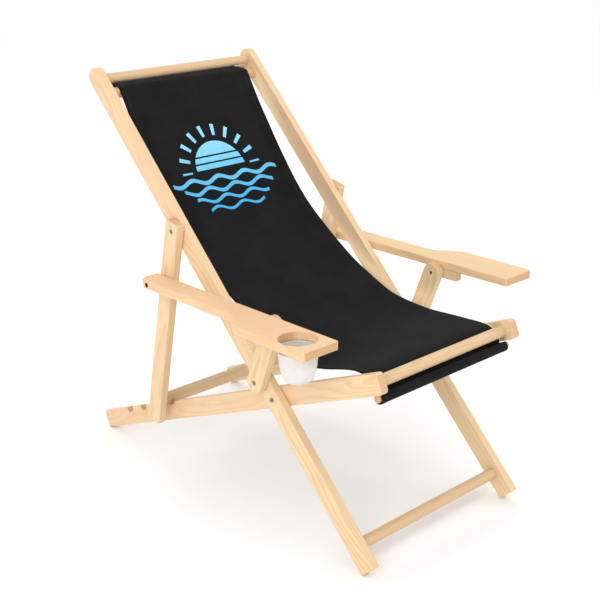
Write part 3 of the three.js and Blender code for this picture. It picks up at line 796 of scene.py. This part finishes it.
def bolt_part(sign, head, tip, y, z):
    """A round bolt with a hexagon socket in its head. head is the head's outer face."""
    low, high = span(sign, head - HEAD_HEIGHT, head)
    socket = arc(y, z, HEX_RADIUS, 0, 360, 6)[:-1][::-1]
    cap = prism([circle(y, z, HEAD_RADIUS, 40), socket], low, high, 0.6, across, 3)
    socket_floor = head - 1.9
    shank_low, shank_high = span(sign, tip, socket_floor)
    return [cap, prism([circle(y, z, SHANK_RADIUS, 20)], shank_low, shank_high, 0.2, across, 2)]


def arm_plate(sign, has_cup):
    """The armrest's plate, with the cup hole through it where it has one."""
    loops = [arm_outline(sign)]
    if has_cup:
        loops.append(circle(sign * CUP_X, CUP_Y, CUP_RADIUS, 72)[::-1])
    return prism(loops, ARM_UNDER, ARM_TOP, 2.2, upright, 5)


def apply_modifiers(piece):
    """Gives the piece the mesh that its modifiers make, and takes them off."""
    bpy.context.view_layer.update()
    evaluated = piece.evaluated_get(bpy.context.evaluated_depsgraph_get())
    mesh = bpy.data.meshes.new_from_object(evaluated)
    piece.modifiers.clear()
    piece.data = mesh


def recess(piece, sign):
    """Cuts the rear bolt's counterbore into the armrest's outer side."""
    outer = ARM_INNER + ARM_NARROW
    low, high = span(sign, outer - BORE_DEPTH, outer + 4)
    # The cutter hands its dark wood to the bore's walls and floor. It is painted shade in the hole.
    cutter = build(
        f"cutter_{piece.name}",
        [rod_part(*ARM_BOLT, BORE_RADIUS, low, high, 0.1)],
        BORE_WOOD_AND_SHADE, ARM, None, [],
    )
    cut = piece.modifiers.new("counterbore", "BOOLEAN")
    cut.operation = "DIFFERENCE"
    cut.solver = "EXACT"
    cut.material_mode = "TRANSFER"
    cut.object = cutter
    apply_modifiers(piece)
    bpy.data.objects.remove(cutter)
    # The cut leaves no sound corner normals, so they are worked out again.
    if "custom_normal" in piece.data.attributes:
        piece.data.attributes.remove(piece.data.attributes["custom_normal"])
    piece.data.set_sharp_from_angle(angle=math.radians(40))
    weighted = piece.modifiers.new("weighted", "WEIGHTED_NORMAL")
    weighted.keep_sharp = True
    apply_modifiers(piece)


for name, sign in SIDES:
    body = f"arm_{name}_body"
    plate = build(
        f"arm_plate_{name}", [arm_plate(sign, name == "right")],
        ARM_WOOD, ARM, body, [f"armrest_{name}"],
    )
    recess(plate, sign)
    low, high = span(sign, ARM_INNER, ARM_INNER + BLOCK_THICK)
    half_long, half_high = BLOCK_HALF
    block = [
        (a + half_long + BLOCK_REAR, b + ARM_UNDER - GAP - half_high)
        for a, b in eased_box(half_long, half_high, 0.8)
    ]
    build(
        f"arm_block_{name}", [prism([block], low, high, 0.8, across)],
        RAIL_WOOD, ARM, body, [f"hinge_block_{name}"],
    )
    build(
        f"bolt_block_{name}",
        bolt_part(sign, ARM_INNER + BLOCK_THICK + HEAD_OUT, PROP_INNER + 1, 0, 0),
        BOLT_STEEL, ARM, body, [f"block_bolt_{name}"],
    )
    build(
        f"bolt_arm_{name}",
        bolt_part(sign, ARM_INNER + ARM_NARROW - BORE_DEPTH + HEAD_OUT, ARM_INNER + 0.5, *ARM_BOLT),
        BOLT_STEEL, ARM, body, [f"arm_bolt_{name}"],
    )
    for piece, at in (("prop", PROP_BOLT_AT), ("post", POST_BOLT_AT)):
        build(
            f"bolt_{piece}_{name}", bolt_part(sign, PROP_OUTER, LONG_INNER + 1, at, 0),
            BOLT_STEEL, LONG, "long_frame", [f"{piece}_bolt_{name}"],
        )
    nut_low, nut_high = span(sign, SEAT_INNER - HEAD_OUT, SEAT_INNER - GAP)
    nut = prism([arc(0, 0, HEAD_RADIUS, 0, 360, 6)[:-1]], nut_low, nut_high, 0.4, across, 2)
    build(
        f"bolt_main_{name}",
        [*bolt_part(sign, LONG_OUTER + HEAD_OUT, SEAT_INNER - 4, 0, 0), nut],
        BOLT_STEEL, LONG, "long_frame", [f"main_bolt_{name}"],
    )
    screw_low, screw_high = span(sign, PROP_OUTER - SCREW_LENGTH, PROP_OUTER - 0.5)
    build(
        f"screw_bar_{name}", [rod_part(*BAR, SCREW_RADIUS, screw_low, screw_high, 0.3, 20)],
        BOLT_STEEL, PROP, "prop_frame", [f"crossbar_screw_{name}"],
    )
    under = ARM_UNDER - GAP - 2 * half_high - GAP
    for end, y in (("front", -46), ("rear", -22)):
        head = prism([circle(sign * (ARM_INNER + 9), y, 4, 32)], under - 1.6, under, 0.5, upright, 3)
        build(
            f"screw_block_{end}_{name}", [head],
            BOLT_STEEL, ARM, body, [f"block_screw_{end}_{name}"],
        )


# ---- Cup net ------------------------------------------------------------------


def net_profile():
    """Radius and height below the armrest, from the rim to the middle of the round bottom."""
    top, depth = NET_TOP, NET_DEPTH
    waist = (top - 2.5, -0.45 * depth)
    floor_radius, floor_height = top - 24, -0.985 * depth
    points = bezier((top, 0), (top - 0.6, -12), (top - 1.6, -25), waist, 8)
    points += bezier(
        waist, (top - 5, -0.8 * depth), (top - 10, floor_height), (floor_radius, floor_height), 14
    )[1:]
    points += [(floor_radius - 2.5 * k, floor_height - 0.1 * k) for k in range(1, 6)]
    return points


def net_mesh():
    """A thin cup of net with soft folds that deepen towards its bottom."""
    around = 144
    profile = net_profile()
    vertices, uvs = [], []
    length = 0.0
    for row, (radius, height) in enumerate(profile):
        if row:
            length += math.dist(profile[row - 1], profile[row])
        depth = -height / NET_DEPTH
        for i in range(around + 1):
            a = 2 * math.pi * i / around
            fold = 0.55 * depth * (math.sin(9 * a + 0.7) + 0.6 * math.sin(17 * a + 2.1))
            r = radius - abs(fold) * min(1.0, radius / 30)
            vertices.append((r * math.cos(a), r * math.sin(a), height))
            uvs.append((64 * i / around, length / 3.9))
    mesh = bpy.data.meshes.new("cup_pouch")
    faces = []
    for row in range(len(profile) - 1):
        for i in range(around):
            a = row * (around + 1) + i
            faces.append((a, a + around + 1, a + around + 2, a + 1))
    mesh.from_pydata([tuple(c * MM for c in v) for v in vertices], [], faces)
    layer = mesh.uv_layers.new(name="cloth")
    for loop in mesh.loops:
        layer.data[loop.index].uv = uvs[loop.vertex_index]
    mesh.polygons.foreach_set("use_smooth", [True] * len(mesh.polygons))
    mesh.update()
    return mesh, length


CUP_PLACE = ARM @ Matrix.Translation(
    Vector((-CUP_X * MM, CUP_Y * MM, (ARM_UNDER - 0.6) * MM))
)
pouch_mesh, pouch_length = net_mesh()
pouch = finish_piece(
    "cup_pouch", pouch_mesh, NETTING, CUP_PLACE, "arm_right_body", ["cup_net"]
)


def torus_mesh(name, radius, wire):
    """A ring of round wire."""
    vertices, faces = [], []
    around, section = 96, 14
    for i in range(around):
        a = 2 * math.pi * i / around
        for j in range(section):
            b = 2 * math.pi * j / section
            r = radius + wire * math.cos(b)
            vertices.append((r * math.cos(a) * MM, r * math.sin(a) * MM, wire * math.sin(b) * MM))
    for i in range(around):
        for j in range(section):
            k, m = (i + 1) % around, (j + 1) % section
            faces.append(
                (i * section + j, k * section + j, k * section + m, i * section + m)
            )
    mesh = bpy.data.meshes.new(name)
    mesh.from_pydata(vertices, [], faces)
    mesh.polygons.foreach_set("use_smooth", [True] * len(mesh.polygons))
    mesh.update()
    return mesh


finish_piece(
    "cup_hoop", torus_mesh("cup_hoop", NET_TOP + 2.1, HOOP_RADIUS), HOOP_STEEL,
    CUP_PLACE @ Matrix.Translation(Vector((0, 0, -HOOP_RADIUS * MM))),
    "arm_right_body", ["cup_net_hoop"],
)


# ---- Sling --------------------------------------------------------------------


def in_row(place, point):
    """A side-view point of a frame as (y, z) in the row frame, in millimetres."""
    moved = place @ Vector((0, point[0] * MM, point[1] * MM))
    return (moved.y / MM, moved.z / MM)


def spline(points, steps):
    """A smooth line through the points, with `steps` stretches between each two."""
    result = []
    padded = [points[0], *points, points[-1]]
    for i in range(1, len(padded) - 2):
        p0, p1, p2, p3 = padded[i - 1 : i + 3]
        for k in range(steps):
            t = k / steps
            result.append(
                tuple(
                    0.5 * (
                        2 * p1[c] + (p2[c] - p0[c]) * t
                        + (2 * p0[c] - 5 * p1[c] + 4 * p2[c] - p3[c]) * t * t
                        + (3 * p1[c] - p0[c] - 3 * p2[c] + p3[c]) * t ** 3
                    )
                    for c in (0, 1)
                )
            )
    result.append(points[-1])
    return result


def resample(points, spacing):
    """The same line with even spacing, and its length."""
    lengths = [0.0]
    for a, b in zip(points, points[1:]):
        lengths.append(lengths[-1] + math.dist(a, b))
    total = lengths[-1]
    count = round(total / spacing)
    result = []
    j = 0
    for i in range(count + 1):
        s = total * i / count
        while j < len(lengths) - 2 and lengths[j + 1] < s:
            j += 1
        t = (s - lengths[j]) / (lengths[j + 1] - lengths[j])
        a, b = points[j], points[j + 1]
        result.append((a[0] + (b[0] - a[0]) * t, a[1] + (b[1] - a[1]) * t))
    return result, total


# The cloth's middle surface stands off what it wraps: round the upper rod and over the rear
# dowel, down the back and the seat, and round the front rod in a looser tunnel.
# Most points of back_sag and seat_sag are rounded output of a measuring script, which carried
# the cloth's far edge in the photograph into the side view. The rest were set between them.
CLOTH_GAP = 0.9
top_tunnel = arc(*TOP_ROD, ROD_RADIUS + CLOTH_GAP, -285, 49, 40)
over_dowel = arc(*REAR_DOWEL, DOWEL_RADIUS + CLOTH_GAP, 49, 100, 10)
back_sag = [
    (774, 0.5), (718, -13), (664, -22), (609, -31), (554, -38), (499, -43.5), (439, -44.5),
    (375, -37), (313, -25), (243, -7), (168, 22), (127, 41), (86, 71),
]
seat_sag = [(-94, 77), (-153, 56), (-200, 39), (-232, 27), (-252, 16), (-262, 3), (-267, -14)]
front_tunnel = []
for angle in range(-5, -326, -8):
    a = math.radians(angle)
    loose = 8.0 + 1.6 * (1 - math.sin(a))
    front_tunnel.append(
        (FRONT_ROD[0] + loose * math.cos(a), FRONT_ROD[1] + loose * math.sin(a))
    )

path = [in_row(LONG, p) for p in top_tunnel]
path += [in_row(LONG, p) for p in over_dowel]
hang = [in_row(LONG, p) for p in back_sag] + [in_row(SEAT, p) for p in seat_sag]
path += spline(hang, 8)
path += [in_row(SEAT, p) for p in front_tunnel]
SLING_PATH, SLING_LENGTH = resample(path, 5.0)


def smooth(t):
    """0 below 0, 1 above 1, and eased between."""
    t = min(max(t, 0), 1)
    return t * t * (3 - 2 * t)


def seat_height(y, z):
    """How far a point of the row's side view is above the seat rails' axis."""
    return (SEAT.inverted() @ Vector((0, y * MM, z * MM))).z / MM


def near_edge_drop(ahead):
    """The sitter's right-hand edge hangs lower under the thighs, by up to 22 mm."""
    return 22 * smooth((ahead + 212) / 130) * smooth((130 - ahead) / 160)


def sling_mesh():
    """The cut sheet, hung along its path, with its middle a little lower than its edges."""
    columns = 40
    rows = len(SLING_PATH)
    held, back_ease, seat_ease, sag_depth = 150, 300, 220, 9
    vertices, uvs = [], []
    for row, (y, z) in enumerate(SLING_PATH):
        before = SLING_PATH[max(row - 1, 0)]
        after = SLING_PATH[min(row + 1, rows - 1)]
        length = math.dist(before, after)
        ny, nz = -(after[1] - before[1]) / length, (after[0] - before[0]) / length
        s = SLING_LENGTH * row / (rows - 1)
        free = smooth(min((s - held) / back_ease, (SLING_LENGTH - held - s) / seat_ease))
        drop = near_edge_drop(y - PIVOT[0])
        # Below the seat rails the cloth sits a little towards the sitter's right.
        flare = smooth((-HALF - seat_height(y, z)) / 5.5) if s > SLING_LENGTH / 2 else 0
        taper = 5 * smooth((66 - s) / 20)
        for i in range(columns + 1):
            # Columns crowd at the hems.
            t = -1 + 2 * i / columns
            t = 1.25 * t - 0.25 * t ** 3
            half = SLING_HALF - taper + flare * (9 if t < 0 else -2)
            x = half * t
            sag = sag_depth * free * (1 - t * t)
            ripple = 0.9 * free * math.sin(s / 83 + 1.3) * math.sin(x / 61 + s / 240)
            lower = drop * ((1 - t) / 2) ** 2
            vertices.append((x, y + ny * (sag + ripple), z + nz * (sag + ripple) - lower))
            uvs.append((0.5 + t / 2, s / SLING_LENGTH))
    return vertices, uvs, rows, columns


def sling_solid():
    """The sheet as a thin closed shell, double at its hems."""
    vertices, uvs, rows, columns = sling_mesh()
    wide = columns + 1
    upper, lower = [], []
    for row in range(rows):
        before = max(row - 1, 0)
        after = min(row + 1, rows - 1)
        for i in range(wide):
            here = Vector(vertices[row * wide + i])
            along = Vector(vertices[after * wide + i]) - Vector(vertices[before * wide + i])
            left = max(i - 1, 0)
            right = min(i + 1, columns)
            over = Vector(vertices[row * wide + right]) - Vector(vertices[row * wide + left])
            normal = along.cross(over).normalized()
            from_edge = (1 - abs(2 * uvs[row * wide + i][0] - 1)) * SLING_HALF
            thick = 0.45 + 0.35 * min(1, max(0, (16 - from_edge) / 2.5))
            if i in (0, columns):
                thick = 0.3
            upper.append(here + normal * thick)
            lower.append(here - normal * thick)
    faces, corners = [], []

    def quad(a, b, c, d, offset):
        faces.append((a + offset, b + offset, c + offset, d + offset))
        corners.extend((a + offset, b + offset, c + offset, d + offset))

    total = rows * wide
    for row in range(rows - 1):
        for i in range(columns):
            a = row * wide + i
            b, c, d = a + 1, a + wide + 1, a + wide
            quad(a, d, c, b, 0)
            quad(a, b, c, d, total)
    rim = []
    rim += [(row * wide, (row + 1) * wide) for row in range(rows - 1)]
    rim += [((row + 1) * wide + columns, row * wide + columns) for row in range(rows - 1)]
    rim += [(i + 1, i) for i in range(columns)]
    rim += [((rows - 1) * wide + i, (rows - 1) * wide + i + 1) for i in range(columns)]
    for a, b in rim:
        faces.append((a, a + total, b + total, b))
        corners.extend((a, a, b, b))
    mesh = bpy.data.meshes.new("sling_cloth")
    mesh.from_pydata([tuple(v * MM) for v in upper + lower], [], faces)
    layer = mesh.uv_layers.new(name="cloth")
    # The far side lies two lengths away in UV, so that the print is on one side only.
    uvs += [(u, v - 2) for u, v in uvs]
    for loop, corner in zip(mesh.loops, corners):
        layer.data[loop.index].uv = uvs[corner]
    mesh.polygons.foreach_set("use_smooth", [True] * len(mesh.polygons))
    mesh.update()
    bm = bmesh.new()
    bm.from_mesh(mesh)
    bmesh.ops.recalc_face_normals(bm, faces=bm.faces)
    bm.to_mesh(mesh)
    bm.free()
    return mesh


CANVAS = canvas("sling_canvas", 2 * SLING_HALF, SLING_LENGTH, PRINT_MIDDLE)
sling = finish_piece(
    "sling_cloth", sling_solid(), CANVAS, Matrix.Identity(4), None,
    ["sling_back", "sling_seat"],
)
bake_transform(sling)


# ---- Floor, light and camera ----------------------------------------------------


def floor():
    """A wide pale plane just under the feet."""
    bpy.ops.mesh.primitive_plane_add(size=120, location=(0, 0, -0.0005))
    plane = bpy.context.object
    plane.name = "floor"
    n = Nodes("floor_pale")
    plane.data.materials.append(
        n.finish(Base_Color=rgb(246, 246, 246), Roughness=0.85, Specular_IOR_Level=0.1)
    )
    plane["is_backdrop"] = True


def area_light(name, location, target, size, power, colour=(1, 1, 1)):
    data = bpy.data.lights.new(name, "AREA")
    data.shape = "DISK"
    data.size = size
    data.energy = power
    data.color = colour
    light = bpy.data.objects.new(name, data)
    bpy.context.scene.collection.objects.link(light)
    light.location = location
    aim = Vector(target) - Vector(location)
    light.rotation_euler = aim.to_track_quat("-Z", "Y").to_euler()
    light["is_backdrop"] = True


def camera():
    """The place, direction and lens come from a fit to the rails' straight edges."""
    data = bpy.data.cameras.new("camera")
    data.lens = 67.7
    data.sensor_width = 36
    eye = bpy.data.objects.new("camera", data)
    bpy.context.scene.collection.objects.link(eye)
    look = Vector((0.6348, 0.6951, -0.3374)).normalized()
    right = Vector((0.7347, -0.6783, -0.0152))
    right = (right - look * right.dot(look)).normalized()
    up = right.cross(look)
    turn = Matrix((right, up, -look)).transposed().to_4x4()
    eye.matrix_world = Matrix.Translation(Vector((-1.6186, -1.8058, 1.2798))) @ turn
    bpy.context.scene.camera = eye


def world():
    sky = bpy.data.worlds.new("studio")
    sky.use_nodes = True
    back = sky.node_tree.nodes["Background"]
    back.inputs["Color"].default_value = (1.0, 1.0, 1.0, 1.0)
    back.inputs["Strength"].default_value = 1.07
    bpy.context.scene.world = sky


floor()
world()
area_light("key", (-3.2, -1.9, 2.3), (0, 0, 0.4), 2.2, 52, (1.0, 0.985, 0.96))
area_light("fill", (2.8, -1.6, 2.2), (0, 0, 0.4), 2.4, 16, (0.97, 0.985, 1.0))
area_light("rim", (0.6, 3.0, 2.6), (0, 0, 0.5), 1.8, 16)
camera()
bpy.context.scene.view_settings.view_transform = "Standard"
bpy.context.scene.view_settings.look = "None"

low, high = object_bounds()
